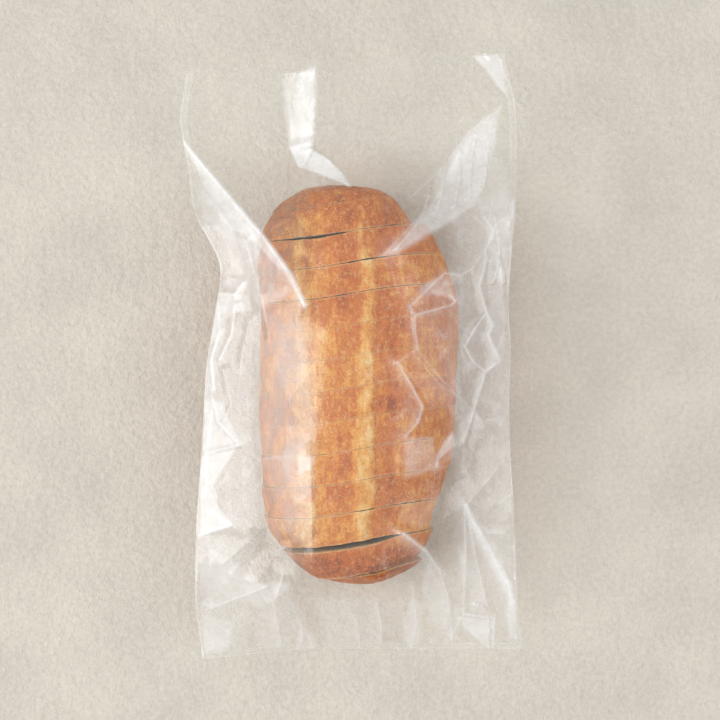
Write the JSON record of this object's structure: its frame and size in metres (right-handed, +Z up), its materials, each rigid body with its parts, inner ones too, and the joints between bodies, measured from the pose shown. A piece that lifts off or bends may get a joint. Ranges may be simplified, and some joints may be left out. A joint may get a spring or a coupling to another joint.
{
  "type": "country loaf",
  "caption": "Sliced country loaf, its slices still standing together, inside a clear film bag that lies flat with its mouth open at one end.",
  "frame": {"origin": "on the surface that the bag lies on, under the middle of the bag", "axes": "+Z up from the surface; +Y along the loaf, towards the bag's open mouth; +X across the loaf, to the right when the mouth points away"},
  "size_m": [0.232, 0.411, 0.0851],
  "materials": {
    "crust": "matte",
    "heel_crust": "matte",
    "bag_film": "polished"
  },
  "bodies": {
    "root": {"heel_foot_end": "heel_crust", "slice_02": "crust", "slice_03": "crust", "slice_04": "crust", "slice_05": "crust", "slice_06": "crust", "slice_07": "crust", "slice_08": "crust", "slice_09": "crust", "slice_10": "crust", "slice_11": "crust", "slice_12": "crust", "slice_13": "crust", "heel_mouth_end": "heel_crust", "bag_back_film": "bag_film", "bag_front_film": "bag_film"}
  },
  "joints": []
}
